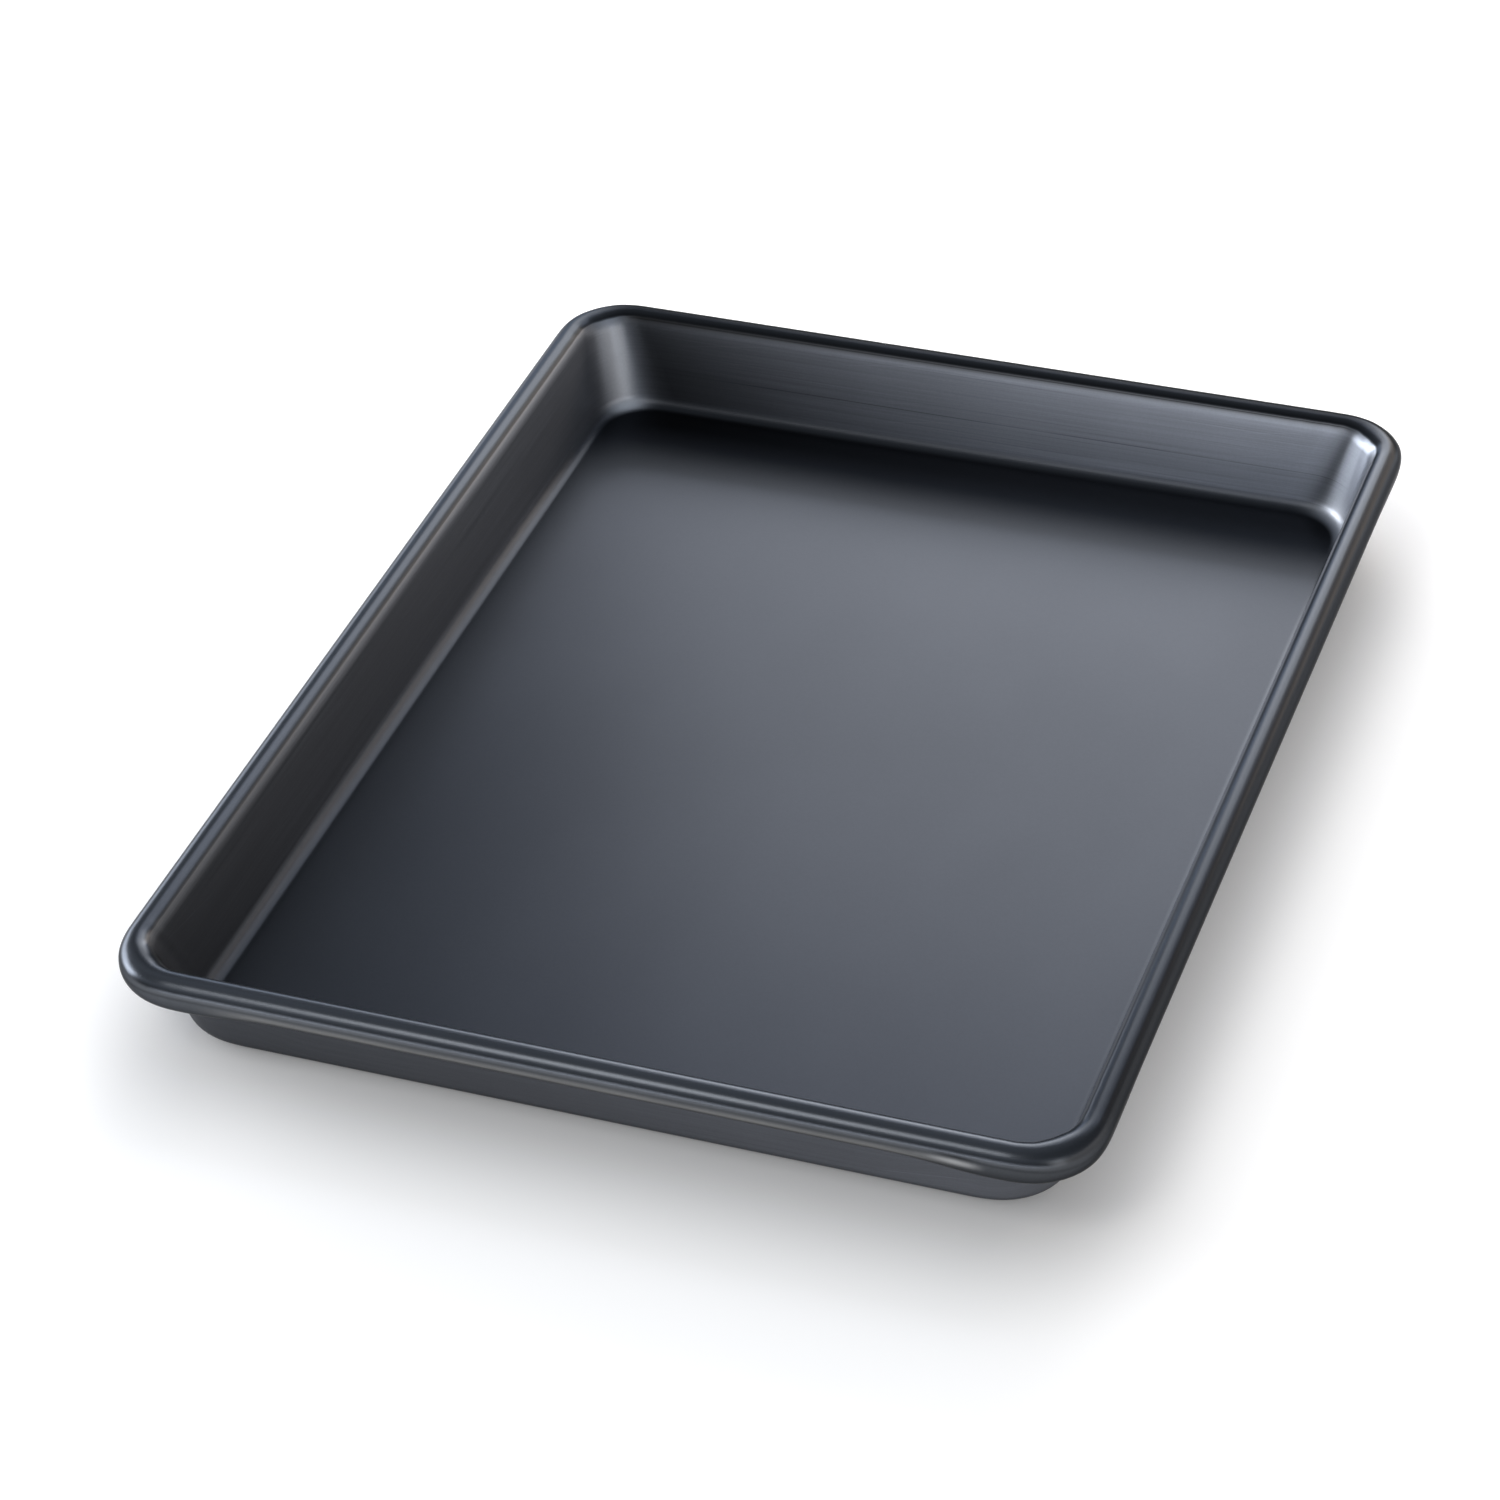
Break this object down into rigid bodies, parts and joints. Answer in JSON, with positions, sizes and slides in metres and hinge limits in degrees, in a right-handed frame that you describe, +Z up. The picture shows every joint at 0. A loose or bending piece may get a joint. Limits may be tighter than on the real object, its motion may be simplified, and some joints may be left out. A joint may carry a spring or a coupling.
{
  "type": "jelly roll pan",
  "caption": "Shallow rectangular baking pan of dark satin sheet, with leaning walls, rounded corners and a rim rolled over a wire.",
  "frame": {"origin": "middle of the flat base, on the surface that the pan stands on", "axes": "+Z up, out of the open top; +Y along the long sides; +X across the pan"},
  "size_m": [0.247, 0.33, 0.0275],
  "materials": {
    "dark_anodised_sheet": "dark blue-grey satin, hard anodised, with faint drawing lines along the walls",
    "steel_wire": "plain drawn steel wire"
  },
  "bodies": {
    "root": {"pan_shell": "dark_anodised_sheet", "rim_wire": "steel_wire"}
  },
  "joints": []
}
